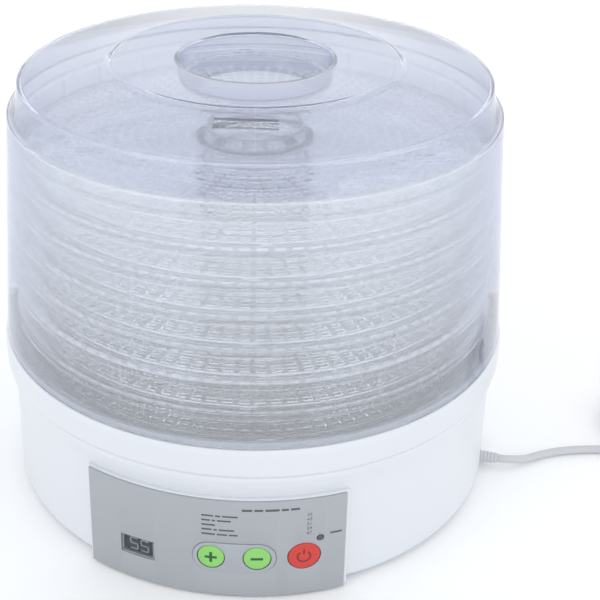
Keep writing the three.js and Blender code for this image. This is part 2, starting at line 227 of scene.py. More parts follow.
# A darker copy of the cover's plastic for the lid: painted shade on the top of the cover.
LID_CLEAR_PAINTED_SHADE = clear_plastic("lid_clear_painted_shade", (0.80, 0.83, 0.93), (0.83, 0.86, 0.95), (0.015, 0.05), 1.46, 0.88,
                          edge=(0.29, 0.32, 0.46))
TRAY_CLEAR = clear_plastic("tray_clear", (0.992, 0.994, 1.0), (1.0, 1.0, 1.0), (0.03, 0.08), 1.5)
SILVER = plastic("panel_silver", (0.355, 0.375, 0.40), (0.39, 0.41, 0.435), (0.36, 0.46), 1500, 0.12,
                 Metallic=0.25)
BEZEL = plastic("bezel_silver", (0.36, 0.38, 0.42), (0.39, 0.41, 0.44), (0.32, 0.42), 1500, 0.1,
                Metallic=0.25)
GREEN = plastic("button_green", (0.20, 0.52, 0.11), (0.26, 0.60, 0.16), (0.4, 0.5), 800, 0.1)
GREEN_MARK = plastic("mark_green", (0.01, 0.07, 0.01), (0.02, 0.10, 0.02), (0.4, 0.5))
RED = plastic("button_red", (0.50, 0.03, 0.02), (0.60, 0.05, 0.035), (0.4, 0.5), 800, 0.1)
RED_MARK = plastic("mark_red", (0.16, 0.01, 0.01), (0.20, 0.02, 0.02), (0.4, 0.5))
PRINT = plastic("print_dark", (0.07, 0.075, 0.09), (0.10, 0.105, 0.12), (0.5, 0.6))
DARK = plastic("dark_plastic", (0.025, 0.027, 0.03), (0.05, 0.052, 0.056), (0.4, 0.6), 700, 0.2)
LCD_DARK = plastic("lcd_dark", (0.075, 0.08, 0.095), (0.095, 0.10, 0.115), (0.25, 0.35))
LCD_LIT = plastic("lcd_digit", (0.52, 0.55, 0.58), (0.60, 0.63, 0.66), (0.4, 0.5))
RUBBER = plastic("rubber_black", (0.012, 0.012, 0.013), (0.03, 0.03, 0.032), (0.7, 0.9), 500, 0.35)
VINYL = plastic("cord_white", (0.50, 0.51, 0.53), (0.57, 0.58, 0.60), (0.42, 0.55), 600, 0.12)
BOARD = plastic("board_green", (0.01, 0.10, 0.035), (0.02, 0.16, 0.05), (0.35, 0.5), 300, 0.1)
MICA = plastic("mica_board", (0.30, 0.23, 0.14), (0.42, 0.34, 0.22), (0.5, 0.8), 240, 0.3)
STEEL = metal("plated_steel", (0.42, 0.43, 0.45), (0.62, 0.63, 0.65))
BRASS = metal("brass", (0.62, 0.46, 0.20), (0.80, 0.62, 0.30), (0.2, 0.35))
WINDOW = clear_plastic("window_clear", (0.70, 0.71, 0.74), (0.74, 0.75, 0.78), (0.04, 0.08), 1.2)


# ---------------------------------------------------------------- mesh helpers

def new_object(name, bm, material, smooth=35):
    """Turns a finished bmesh into an object; edges sharper than smooth degrees stay crisp."""
    bmesh.ops.remove_doubles(bm, verts=bm.verts, dist=1e-7)
    bmesh.ops.recalc_face_normals(bm, faces=bm.faces)
    mesh = bpy.data.meshes.new(name)
    bm.to_mesh(mesh)
    bm.free()
    return mesh_object(name, mesh, material, smooth)


def mesh_object(name, mesh, material, smooth=35):
    mesh.materials.clear()
    mesh.materials.append(material)
    mesh.shade_smooth()
    mesh.set_sharp_from_angle(angle=math.radians(smooth))
    obj = bpy.data.objects.new(name, mesh)
    bpy.context.scene.collection.objects.link(obj)
    return obj


def apply_modifiers(obj, smooth=35):
    """Makes what the modifiers show the object's own mesh."""
    bpy.context.view_layer.update()
    graph = bpy.context.evaluated_depsgraph_get()
    mesh = bpy.data.meshes.new_from_object(obj.evaluated_get(graph))
    obj.modifiers.clear()
    obj.data = mesh
    mesh.shade_smooth()
    mesh.set_sharp_from_angle(angle=math.radians(smooth))
    return obj


def boolean(obj, cutters, operation="DIFFERENCE", smooth=35):
    """Cuts an object with others, which are then deleted."""
    for cutter in cutters:
        m = obj.modifiers.new("cut", "BOOLEAN")
        m.operation, m.solver, m.object = operation, "EXACT", cutter
    apply_modifiers(obj, smooth)
    for cutter in cutters:
        bpy.data.objects.remove(cutter)
    return obj


def bevel(obj, width, segments=2, angle=40):
    m = obj.modifiers.new("bevel", "BEVEL")
    m.width, m.segments, m.limit_method = width, segments, "ANGLE"
    m.angle_limit = math.radians(angle)
    m.use_clamp_overlap = True
    return apply_modifiers(obj, 50)


def rounded(points, steps=4):
    """A closed outline in which a corner given as (a, b, radius) becomes a smooth bend."""
    out = []
    for i, p in enumerate(points):
        corner = Vector(p[:2])
        radius = p[2] if len(p) > 2 else 0
        before = Vector(points[i - 1][:2]) - corner
        after = Vector(points[(i + 1) % len(points)][:2]) - corner
        if not radius or before.length < 1e-9 or after.length < 1e-9:
            out.append(corner)
            continue
        reach = min(radius, 0.45 * before.length, 0.45 * after.length)
        a, b = corner + before.normalized() * reach, corner + after.normalized() * reach
        for k in range(steps + 1):
            t = k / steps
            out.append((1 - t) ** 2 * a + 2 * t * (1 - t) * corner + t * t * b)
    return out


def lathe(name, profile, material, segments=180, smooth=35, steps=4):
    """A closed (radius, height) outline turned about Z."""
    points = rounded(profile, steps)
    bm = bmesh.new()
    rings = []
    for s in range(segments):
        a = 2 * math.pi * s / segments
        rings.append([bm.verts.new((p[0] * math.sin(a), -p[0] * math.cos(a), p[1])) for p in points])
    for s in range(segments):
        one, two = rings[s], rings[(s + 1) % segments]
        for i in range(len(points)):
            j = (i + 1) % len(points)
            if points[i][0] < 1e-9 and points[j][0] < 1e-9:
                continue
            bm.faces.new((one[i], two[i], two[j], one[j]))
    return new_object(name, bm, material, smooth)


def prism(name, outline, y0, y1, material=None):
    """A solid whose (x, z) outline runs along Y."""
    bm = bmesh.new()
    ends = [[bm.verts.new((x, y, z)) for x, z in outline] for y in (y0, y1)]
    bm.faces.new(ends[0])
    bm.faces.new(reversed(ends[1]))
    for i in range(len(outline)):
        j = (i + 1) % len(outline)
        bm.faces.new((ends[0][j], ends[0][i], ends[1][i], ends[1][j]))
    return new_object(name, bm, material or DARK)


def circle(x, z, radius, sides=64):
    return [(x + radius * math.cos(2 * math.pi * i / sides), z + radius * math.sin(2 * math.pi * i / sides))
            for i in range(sides)]


def rect(x, z, width, height, radius=0.0):
    w, h = width / 2, height / 2
    corners = [(x - w, z - h), (x + w, z - h), (x + w, z + h), (x - w, z + h)]
    return [tuple(p) for p in rounded([(*c, radius) for c in corners], 10)] if radius else corners


def stadium(x, z, width, height):
    r = height / 2
    right = [(x + width / 2 - r + r * math.cos(a), z + r * math.sin(a))
             for a in (math.pi * (k / 24 - 0.5) for k in range(25))]
    left = [(2 * x - px, 2 * z - pz) for px, pz in right]
    return right + left


def curved_plate(name, inner, outer, half, low, high, material, columns=120):
    """A slab bent round the Z axis, centred on the front."""
    bm = bmesh.new()
    corners = ((outer, low), (outer, high), (inner, high), (inner, low))
    rows = []
    for i in range(columns + 1):
        a = -half + 2 * half * i / columns
        rows.append([bm.verts.new(polar(r, a, z)) for r, z in corners])
    for one, two in zip(rows, rows[1:]):
        for i in range(4):
            j = (i + 1) % 4
            bm.faces.new((one[i], two[i], two[j], one[j]))
    bm.faces.new(rows[0])
    bm.faces.new(reversed(rows[-1]))
    return new_object(name, bm, material)


def on_cylinder(obj, radius):
    """Bends a flat piece, drawn at y = 0, onto a cylinder about Z."""
    bm = bmesh.new()
    bm.from_mesh(obj.data)
    across = [v.co.x for v in bm.verts]
    x = min(across) + FOLD_STEP
    while x < max(across):
        everything = [*bm.verts, *bm.edges, *bm.faces]
        bmesh.ops.bisect_plane(bm, geom=everything, plane_co=(x, 0, 0), plane_no=(1, 0, 0))
        x += FOLD_STEP
    for v in bm.verts:
        r = radius - v.co.y
        v.co.y = -math.sqrt(max(r * r - v.co.x ** 2, 0))
    bm.to_mesh(obj.data)
    bm.free()
    return obj


def join(objects, name):
    """One object from several, with the first one's material."""
    first = objects[0]
    bm = bmesh.new()
    for o in objects:
        copy = o.data.copy()
        copy.transform(o.matrix_world)
        bm.from_mesh(copy)
        bpy.data.meshes.remove(copy)
    mesh = bpy.data.meshes.new(name)
    bm.to_mesh(mesh)
    bm.free()
    material = first.data.materials[0]
    for o in objects:
        bpy.data.objects.remove(o)
    return mesh_object(name, mesh, material)


# ---------------------------------------------------------------- base

def place(node):
    """The middle of a node on the front, as (x, z)."""
    low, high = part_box(node)
    return (low.x + high.x) / 2, (low.z + high.z) / 2


def front_holes():
    """Cutters for the button wells, the lamp and the display, through the pod and the wall behind it."""
    lamp_x, lamp_z = place("led_indicator")
    cutters = [prism("hole", circle(*place(node), radius + 0.5 * MM), *FRONT_CUT)
               for node, (_, radius) in BUTTONS.items()]
    cutters.append(prism("hole", circle(lamp_x, lamp_z, LAMP_HOLE_R, 32), *FRONT_CUT))
    display = prism("hole", rect(0, place("lcd_window")[1], 19.6 * MM, 11.4 * MM), *FRONT_CUT)
    display.data.transform(Matrix.Rotation(LCD_ANGLE, 4, "Z"))
    return cutters + [display]


def cord_hole():
    """A cutter for the round hole that the cord's sleeve passes through."""
    hole = prism("hole", circle(0, EXIT_Z, 4.5 * MM, 48), -0.18, -0.14)
    hole.data.transform(Matrix.Rotation(EXIT_ANGLE, 4, "Z"))
    return hole


def base_body():
    """The white tub with its grooved lip, and the pod that carries the panel."""
    low, r = BASE_LOW.z, BODY_R
    groove = BASE_TOP - 19 * MM
    rim_outer, rim_inner, wall_inner = 160.9 * MM, 157.5 * MM, 157 * MM
    ledge_r, ledge_z = 152 * MM, 95 * MM
    profile = [
        (r - 14 * MM, low), (r, low, 16 * MM), (r, 71 * MM, 14 * MM),
        (LIP_R - 1.2 * MM, groove - 3 * MM, 7 * MM), (LIP_R - 1.2 * MM, groove - 0.8 * MM, 0.8 * MM),
        (LIP_R - 2.2 * MM, groove, 0.8 * MM), (LIP_R, groove + 1.4 * MM, 1.2 * MM),
        (LIP_R, BASE_TOP - 3 * MM, 3 * MM), (LIP_R - 1 * MM, BASE_TOP, 0.9 * MM),
        (rim_outer, BASE_TOP), (rim_outer, BASE_HIGH.z, 1 * MM), (rim_inner, BASE_HIGH.z, 1 * MM),
        (rim_inner, ledge_z), (ledge_r, ledge_z), (ledge_r, 92 * MM), (wall_inner, 87 * MM),
        (wall_inner, low + 4 * MM, 8 * MM), (r - 14 * MM, low + 3 * MM),
    ]
    body = lathe("base_body", profile, WHITE, 216, 35, 8)
    boolean(body, [*front_holes(), cord_hole()])
    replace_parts(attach(body, "base"), "base_shell")
    pod = curved_plate("panel_pod", BODY_R - 1.5 * MM, POD_R, PANEL_HALF + math.radians(0.9),
                       BASE_LOW.z, PANEL_HIGH + 0.6 * MM, WHITE)
    bevel(pod, 0.8 * MM, 3)
    boolean(pod, front_holes())
    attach(pod, "base")


def front_plate(name, outer, material):
    """A blank as large as the panel, lying on the pod."""
    return curved_plate(name, POD_R + 0.3 * MM, outer, PANEL_HALF, PANEL_LOW, PANEL_HIGH, material)


def control_panel():
    """The silver overlay, and the stadium-shaped bezel round the two green buttons."""
    plus, minus, power = (place(n) for n in BUTTONS)
    plus_r, power_r = BUTTONS["button_plus"][1], BUTTONS["button_power"][1]
    wx, wz = place("lcd_window")
    middle = ((plus[0] + minus[0]) / 2, plus[1])
    lx, lz = place("led_indicator")
    panel = front_plate("silver_panel", PANEL_R, SILVER)
    boolean(panel, [
        prism("hole", stadium(*middle, 49.6 * MM, 21.2 * MM), *FRONT_CUT),
        prism("hole", circle(*power, power_r + CAP_GAP), *FRONT_CUT),
        prism("hole", circle(lx, lz, LAMP_HOLE_R, 32), *FRONT_CUT),
        prism("hole", rect(wx, wz, 21.8 * MM, 13.6 * MM, 0.8 * MM), *FRONT_CUT),
    ])
    bevel(panel, 0.2 * MM)
    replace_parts(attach(panel, "base"), "control_panel")
    bezel = front_plate("stadium_bezel", FACE_R - 0.3 * MM, BEZEL)
    boolean(bezel, [prism("keep", stadium(*middle, 49 * MM, 20.6 * MM), *FRONT_CUT)], "INTERSECT")
    boolean(bezel, [prism("hole", circle(*p, plus_r + CAP_GAP), *FRONT_CUT) for p in (plus, minus)])
    bevel(bezel, 0.3 * MM)
    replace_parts(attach(bezel, "base"), "button_bezel")


def lcd():
    """The window, the dark display close behind it, its case and the lit figures."""
    x, z = place("lcd_window")
    window = front_plate("lcd_glass", PANEL_R, WINDOW)
    boolean(window, [prism("keep", rect(x, z, 21.2 * MM, 13 * MM, 0.8 * MM), *FRONT_CUT)], "INTERSECT")
    bevel(window, 0.2 * MM)
    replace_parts(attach(window, "base"), "lcd_window")
    turn = Matrix.Rotation(LCD_ANGLE, 4, "Z")
    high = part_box("lcd_module")[1]
    case = prism("lcd_case", rect(x, z, 22 * MM, 16 * MM, 1 * MM), -143.9 * MM, high.y, DARK)
    bevel(case, 0.4 * MM)
    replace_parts(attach(case, "base"), "lcd_module")
    face = prism("lcd_face", rect(0, z, 18.4 * MM, 10.2 * MM, 0.6 * MM), -LCD_R, -147 * MM, LCD_DARK)
    face.data.transform(turn)
    bevel(face, 0.3 * MM)
    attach(face, "base")
    front = -LCD_R + 0.05 * MM
    digits = figure_five(-3.2 * MM, z, front) + figure_five(4.0 * MM, z, front)
    shown = join(digits, "lcd_digits")
    shown.data.transform(turn)
    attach(shown, "base")


def figure_five(x, z, front):
    """The five lit segments of a seven-segment 5, one thin bar each."""
    w, h, t = 4.8 * MM, 7.2 * MM, 1.0 * MM
    upright = h / 2.3
    bars = [(x, z + h / 2, w, t), (x - w / 2, z + h / 4, t, upright), (x, z, w, t),
            (x + w / 2, z - h / 4, t, upright), (x, z - h / 2, w, t)]
    return [prism("bar", rect(*bar), front - 0.1 * MM, front + 0.1 * MM, LCD_LIT) for bar in bars]


def surface_y(x, radius):
    """How far forward a cylinder about Z reaches at x."""
    return -math.sqrt(radius * radius - x * x)


def button_cap(name, node, material):
    """A round cap whose face follows the panel's curve, with a soft edge."""
    x, z = place(node)
    body, radius = BUTTONS[node]
    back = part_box(node)[1].y
    rings = [(0.0, 0.0), (0.35, 0.02), (0.7, 0.08), (0.86, 0.18), (0.94, 0.36), (0.985, 0.7), (1.0, 1.2)]
    sides = 64
    bm = bmesh.new()
    loops = []
    for share, drop in rings:
        loop = []
        for i in range(sides):
            a = 2 * math.pi * i / sides
            px, pz = x + radius * share * math.cos(a), z + radius * share * math.sin(a)
            loop.append(bm.verts.new((px, surface_y(px, FACE_R) + drop * MM, pz)))
        loops.append(loop)
    loops.append([bm.verts.new((v.co.x, back, v.co.z)) for v in loops[-1]])
    for one, two in zip(loops, loops[1:]):
        for i in range(sides):
            j = (i + 1) % sides
            bm.faces.new((one[i], one[j], two[j], two[i]))
    bm.faces.new(loops[-1])
    cap = new_object(name, bm, material, 60)
    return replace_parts(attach(cap, body), node)


def face_mark(name, bars, node, material):
    """Bars, each (width, height) in millimetres, laid crosswise on the middle of a button."""
    x, z = place(node)
    pieces = []
    for width, height in bars:
        bar = prism("bar", rect(x, z, width * MM, height * MM, 0.3 * MM), 0, 0.4 * MM, material)
        pieces.append(on_cylinder(bar, FACE_R + MARK_LIFT))
    mark = join(pieces, name)
    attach(mark, BUTTONS[node][0])
    return mark


def power_mark():
    """A broken ring with a bar, the usual sign for a power key."""
    x, z = place("button_power")
    inner, outer = 3.2 * MM, 4.2 * MM
    angles = [math.radians(125 + 290 * k / 28) for k in range(29)]
    outline = [(x + outer * math.cos(a), z + outer * math.sin(a)) for a in angles]
    outline += [(x + inner * math.cos(a), z + inner * math.sin(a)) for a in reversed(angles)]
    ring = on_cylinder(prism("ring", outline, 0, 0.4 * MM, RED_MARK), FACE_R + MARK_LIFT)
    upright = rect(x, z + 3.4 * MM, 1 * MM, 3.6 * MM)
    bar = on_cylinder(prism("bar", upright, 0, 0.4 * MM, RED_MARK), FACE_R + MARK_LIFT)
    mark = join([ring, bar], "power_sign")
    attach(mark, "power")


def buttons():
    button_cap("cap_plus", "button_plus", GREEN)
    button_cap("cap_minus", "button_minus", GREEN)
    button_cap("cap_power", "button_power", RED)
    across, upright = (7.2, 1.7), (1.7, 7.2)
    face_mark("plus_sign", [across, upright], "button_plus", GREEN_MARK)
    face_mark("minus_sign", [across], "button_minus", GREEN_MARK)
    power_mark()


def printed(outline):
    return on_cylinder(prism("print", outline, 0, 0.05 * MM, PRINT), PANEL_R + PRINT_LIFT)


def dashes(x, z, widths, gap, height):
    """A row of printed bars of these widths, from x to the right; all in millimetres."""
    row = []
    for width in widths:
        row.append(printed(rect((x + width / 2) * MM, z * MM, width * MM, height * MM)))
        x += width + gap
    return row


def number(text, x, z, height):
    curve = bpy.data.curves.new("number", "FONT")
    curve.body, curve.size, curve.align_x, curve.align_y = text, height, "CENTER", "CENTER"
    obj = bpy.data.objects.new("number", curve)
    bpy.context.scene.collection.objects.link(obj)
    bpy.context.view_layer.update()
    graph = bpy.context.evaluated_depsgraph_get()
    mesh = bpy.data.meshes.new_from_object(obj.evaluated_get(graph))
    bpy.data.objects.remove(obj)
    mesh.transform(Matrix.Translation((x, 0, z)) @ Matrix.Rotation(math.pi / 2, 4, "X"))
    sheet = mesh_object("number", mesh, PRINT)
    return on_cylinder(sheet, PANEL_R + PRINT_LIFT)


def panel_print():
    """A plain guide: a heading bar, five rows of dashes and a column of temperatures."""
    marks = dashes(18, 64.5, (6, 5, 8, 4, 5), 1.2, 1.5)
    for row, words in enumerate(((7, 3, 9), (5, 2, 8), (8,), (6, 2, 9), (8, 6, 5))):
        z = 59.5 - 3.3 * row
        marks += dashes(-5.5, z, words, 1.1, 1.1)
        marks.append(number(str(35 + 8 * row), 56.5 * MM, z * MM, 3.0 * MM))
    marks += dashes(68.25, 44.0, (6.5,), 0, 1.3)
    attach(join(marks, "panel_print"), "base")


def led():
    """The small lamp, unlit."""
    low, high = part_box("led_indicator")
    x, z = place("led_indicator")
    lamp = prism("led_lamp", circle(x, z, 1.85 * MM, 32), low.y, high.y, LCD_DARK)
    bevel(lamp, 0.5 * MM, 3)
    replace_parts(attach(lamp, "base"), "led_indicator")


def deck():
    """The deck with the upright ring that the trays stand on."""
    hole_r, outer = 46 * MM, 157.2 * MM
    ring_outer, ring_inner = 151.5 * MM, 147.6 * MM
    z0, z1, seat = DECK_LOW.z, DECK_LOW.z + 2.5 * MM, DECK_HIGH.z
    profile = [
        (hole_r, z0), (outer, z0), (outer, z1, 0.6 * MM), (ring_outer, z1, 0.6 * MM),
        (ring_outer, seat, 0.8 * MM), (ring_inner, seat, 0.8 * MM), (ring_inner, z1, 0.6 * MM),
        (hole_r, z1, 0.6 * MM),
    ]
    plate = lathe("base_deck", profile, DECK_WHITE, 160)
    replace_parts(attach(plate, "base"), "top_deck")


# ---------------------------------------------------------------- cover and trays

def bell_cover():
    """The tapered clear cover: shoulder, rim, plateau, finger well and vent; its lid takes a darker copy of
    the clear plastic, painted shade on the top.
    """
    t = COVER_WALL
    top = COVER_TOP
    rim_z = top - 9.8 * MM
    foot = COVER_LOW.z
    shoulder_r, shoulder_z = 154 * MM, 254 * MM
    rim_r, plateau_r, cup_r = 146.8 * MM, 90 * MM, 48 * MM
    cup_z = top - 14 * MM
    profile = [
        (COVER_FOOT_R - t, foot, 0.4 * MM), (COVER_FOOT_R, foot, 0.4 * MM),
        (shoulder_r, shoulder_z, 0.5 * MM), (shoulder_r - 2.4 * MM, shoulder_z + 0.9 * MM, 0.7 * MM),
        (rim_r + 1 * MM, rim_z - 9 * MM, 5 * MM), (rim_r, rim_z, 1.0 * MM),
        (rim_r - 2 * MM, rim_z + 0.8 * MM, 1 * MM),
        (plateau_r + 3 * MM, top - 2.4 * MM, 1.2 * MM), (plateau_r, top, 1.2 * MM),
        (cup_r, top, 1.6 * MM), (cup_r - 1.5 * MM, cup_z, 2.5 * MM), (0, cup_z),
        (0, cup_z - t), (cup_r, cup_z - t, 2.5 * MM), (cup_r + t, top - t, 1.2 * MM),
        (plateau_r - 1 * MM, top - t, 1 * MM), (plateau_r + 2 * MM, top - 2.4 * MM - t, 1 * MM),
        (rim_r - 3 * MM, rim_z - 1.4 * MM, 1 * MM), (rim_r - t, rim_z - 3 * MM, 1 * MM),
        (rim_r + 1 * MM - t, rim_z - 9.4 * MM, 5 * MM),
        (shoulder_r - 2.4 * MM - t, shoulder_z - 0.6 * MM, 1 * MM),
        (shoulder_r - t, shoulder_z - 1.8 * MM, 1 * MM),
    ]
    bell = lathe("bell_cover", profile, CLEAR, 216, 30, 5)
    vent = prism("vent", rect(0, 0.28, 36 * MM, 40 * MM), -109 * MM, -99 * MM)
    vent.data.transform(Matrix.Rotation(math.radians(5.5), 4, "Z"))
    boolean(bell, [vent], smooth=30)
    # Faces above the shoulder take the darker lid copy: painted shade on the top.
    bell.data.materials.append(LID_CLEAR_PAINTED_SHADE)
    for face in bell.data.polygons:
        face.material_index = int(face.center.z > shoulder_z + 1 * MM)
    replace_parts(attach(bell, "cover"), "cover")


def lattice_lines():
    """The radii and angles between which the floor is solid or open by turns."""
    band, hole_share, spoke_share = 6 * MM, 0.68, 0.34
    radii = [CHIMNEY_R, CHIMNEY_R + band]
    step = (TRAY_INNER_R - band - radii[-1]) / FLOOR_RINGS
    for k in range(FLOOR_RINGS):
        start = CHIMNEY_R + band + k * step
        radii += [start + step * hole_share, start + step]
    radii.append(TRAY_INNER_R)
    angles = []
    for s in range(SPOKES):
        a = 2 * math.pi * s / SPOKES
        angles += [a, a + 2 * math.pi / SPOKES * spoke_share]
    return radii, angles


def floor_lattice(z, thickness):
    """The perforated floor: spokes and rings with open cells, wider ones near the middle."""
    radii, angles = lattice_lines()
    bm = bmesh.new()
    grid = [[[bm.verts.new(polar(r, a, h)) for r in radii] for a in angles] for h in (z, z + thickness)]
    n = len(angles)

    def is_open(i, j):
        if not 1 <= j < len(radii) - 2 or j % 2 == 0:
            return False
        return i % 4 != 0 if radii[j] < COARSE_R else i % 2 == 1

    low, high = grid
    for i in range(n):
        k = (i + 1) % n
        for j in range(len(radii) - 1):
            if is_open(i, j):
                continue
            bm.faces.new((high[i][j], high[i][j + 1], high[k][j + 1], high[k][j]))
            bm.faces.new((low[i][j], low[k][j], low[k][j + 1], low[i][j + 1]))
    above = {v: w for i in range(n) for v, w in zip(low[i], high[i])}
    for e in [e for e in bm.edges if len(e.link_faces) == 1]:
        a, b = e.verts
        if a in above and b in above:
            bm.faces.new((a, b, above[b], above[a]))
    loose = [v for v in bm.verts if not v.link_faces]
    bmesh.ops.delete(bm, geom=loose, context="VERTS")
    return new_object("lattice", bm, TRAY_CLEAR, 30)


def tray_wall(z):
    """The wall with its rolled edges, and the foot that nests in the tray below."""
    top = z + TRAY_PITCH - 0.3 * MM
    foot_inner, foot_outer = 143.5 * MM, 146.5 * MM
    r, t = TRAY_R, 1.8 * MM
    profile = [
        (foot_inner, z + 2.2 * MM), (foot_inner, z - TRAY_FOOT, 0.5 * MM),
        (foot_outer, z - TRAY_FOOT, 0.5 * MM),
        (foot_outer, z, 0.4 * MM), (r, z, 0.5 * MM), (r, z + 2.6 * MM, 0.4 * MM),
        (r - 0.8 * MM, z + 3.2 * MM, 0.4 * MM),
        (r - 0.8 * MM, top - 4.2 * MM, 0.4 * MM), (r, top - 3.4 * MM, 0.4 * MM),
        (r, top, 0.6 * MM), (r - t, top, 0.6 * MM), (r - t, z + 2.2 * MM, 0.6 * MM),
    ]
    return lathe("wall", profile, TRAY_CLEAR, 144, 30, 3)


def tray_chimney(z):
    """The collar round the air hole, on a solid band of floor."""
    inner, outer, band = 30 * MM, CHIMNEY_R, CHIMNEY_R + 6 * MM
    profile = [(inner, z, 0.4 * MM), (band, z), (band, z + 2.2 * MM), (outer, z + 2.2 * MM, 1 * MM),
               (outer, z + 12 * MM, 0.8 * MM), (inner, z + 12 * MM, 0.8 * MM)]
    return lathe("chimney", profile, TRAY_CLEAR, 96, 30, 3)


def tray_ribs(z):
    """Upright stiffeners inside the wall, every sixth one wide."""
    depth, height = 1.5 * MM, 13 * MM
    bm = bmesh.new()
    for k in range(24):
        width = 9 * MM if k % 6 == 0 else 1.4 * MM
        turn = Matrix.Rotation(math.radians(15 * k + 7.5), 4, "Z")
        shift = Matrix.Translation((0, -(TRAY_INNER_R - depth / 2), z + 9.6 * MM))
        bmesh.ops.create_cube(bm, size=1, matrix=turn @ shift @ Matrix.Diagonal((width, depth, height, 1)))
    return new_object("ribs", bm, TRAY_CLEAR, 30)


def trays():
    """Seven copies of one tray, each turned a little so that their floors don't line up."""
    z = TRAY_LOW.z + TRAY_FOOT
    model = join([tray_wall(z), tray_chimney(z), floor_lattice(z, 2 * MM), tray_ribs(z)], "tray_shape")
    shared = model.data
    bpy.data.objects.remove(model)
    for node in TRAYS:
        obj = bpy.data.objects.new(node + "_moulding", shared)
        obj.location.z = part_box(node)[0].z - TRAY_LOW.z
        obj.rotation_euler.z = math.radians(3.75 * int(node.split("_")[1]) % 7.5)
        bpy.context.scene.collection.objects.link(obj)
        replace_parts(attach(obj, "tray_body_" + node.split("_")[1]), node)


# ---------------------------------------------------------------- cord

def spline_points(points, steps=4):
    """Points along a smooth curve through the given ones."""
    ends = [2 * points[0] - points[1], *points, 2 * points[-1] - points[-2]]
    out = []
    for a, b, c, d in zip(ends, ends[1:], ends[2:], ends[3:]):
        for k in range(steps):
            t = k / steps
            square, cube = 2 * a - 5 * b + 4 * c - d, 3 * b - a - 3 * c + d
            out.append(0.5 * (2 * b + (c - a) * t + square * t * t + cube * t ** 3))
    return out + [points[-1]]


def coil_points(per_turn=24):
    """In at the outside of the lower layer, up at the inside, and out along the upper layer."""
    band, rise = COIL_OUTER_R - COIL_INNER_R, COIL_HIGH_Z - COIL_LOW_Z
    points = []
    for k in range(round(COIL_TURNS * per_turn) + 1):
        t = k / per_turn
        if t < 2:
            r, z = COIL_OUTER_R - band * t / 2, COIL_LOW_Z
        elif t < 2.25:
            r, z = COIL_INNER_R, COIL_LOW_Z + rise * (t - 2) * 4
        else:
            r, z = COIL_INNER_R + band * (t - 2.25) / 2, COIL_HIGH_Z
        a = 2 * math.pi * t - math.pi / 2
        points.append(COIL_CENTRE + Vector((r * math.cos(a), r * math.sin(a), z)))
    return points


def cord_points(start):
    """The lead's route: out of the sleeve, down to the floor, into the coil and out to the plug."""
    straight = polar(EXIT_R + 5 * MM, EXIT_ANGLE, EXIT_Z)
    route = [start, straight] + [Vector(p) * MM for p in (
        (190, -3.5, 4.4), (203, 6, 2.9), (216, 12, 2.9), (230, 16, 2.9), (244, 18.5, 2.9), (256, 19.7, 2.9),
        (271, 20.4, 3.4),
    )]
    coil = coil_points()
    plug_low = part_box("plug_body")[0]
    plug = Vector((COIL_CENTRE.x + COIL_OUTER_R, plug_low.y + 1 * MM, 8.1 * MM))
    tail = [Vector((plug.x, COIL_CENTRE.y + 11 * MM, 8.8 * MM)), plug]
    return spline_points(route + [coil[0]], 4)[:-1] + coil + spline_points([coil[-1]] + tail, 3)[1:]


def power_cord():
    start = polar(EXIT_R + 0.4 * MM, EXIT_ANGLE, EXIT_Z)
    points = cord_points(start)
    curve = bpy.data.curves.new("mains_cord", "CURVE")
    curve.dimensions = "3D"
    curve.bevel_depth = CORD_D / 2
    curve.bevel_resolution = 5
    curve.use_fill_caps = True
    spline = curve.splines.new("POLY")
    spline.points.add(len(points) - 1)
    for p, q in zip(spline.points, points):
        p.co = (*q, 1)
    spline.use_smooth = True
    curve.materials.append(VINYL)
    cord = bpy.data.objects.new("mains_cord", curve)
    bpy.context.scene.collection.objects.link(cord)
    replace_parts(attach(cord, "base"), "power_cord", "cord_coil")


def strain_sleeve():
    """The tapered sleeve with its ribs, round the cord where it leaves the base."""
    bore, plain, first_rib, length = 2.75 * MM, 11 * MM, 11.6 * MM, 24 * MM
    profile = [(bore, 0), (4.2 * MM, 0, 0.3 * MM), (4.2 * MM, plain, 0.4 * MM)]
    z = first_rib
    while z < length - 2 * MM:
        share = (z - first_rib) / (length - first_rib)
        r = (4.1 - 0.7 * share) * MM
        profile += [(r - 0.5 * MM, z, 0.15 * MM), (r, z + 0.5 * MM, 0.3 * MM),
                    (r, z + 1.5 * MM, 0.3 * MM), (r - 0.5 * MM, z + 2 * MM, 0.15 * MM)]
        z += 2.4 * MM
    profile += [(3.4 * MM, length, 0.3 * MM), (bore, length)]
    sleeve = lathe("strain_sleeve", profile, VINYL, 48)
    turn = Matrix.Rotation(EXIT_ANGLE, 4, "Z") @ Matrix.Rotation(math.pi / 2, 4, "X")
    sleeve.data.transform(Matrix.Translation(polar(EXIT_R - length, EXIT_ANGLE, EXIT_Z)) @ turn)
    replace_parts(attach(sleeve, "base"), "strain_relief")


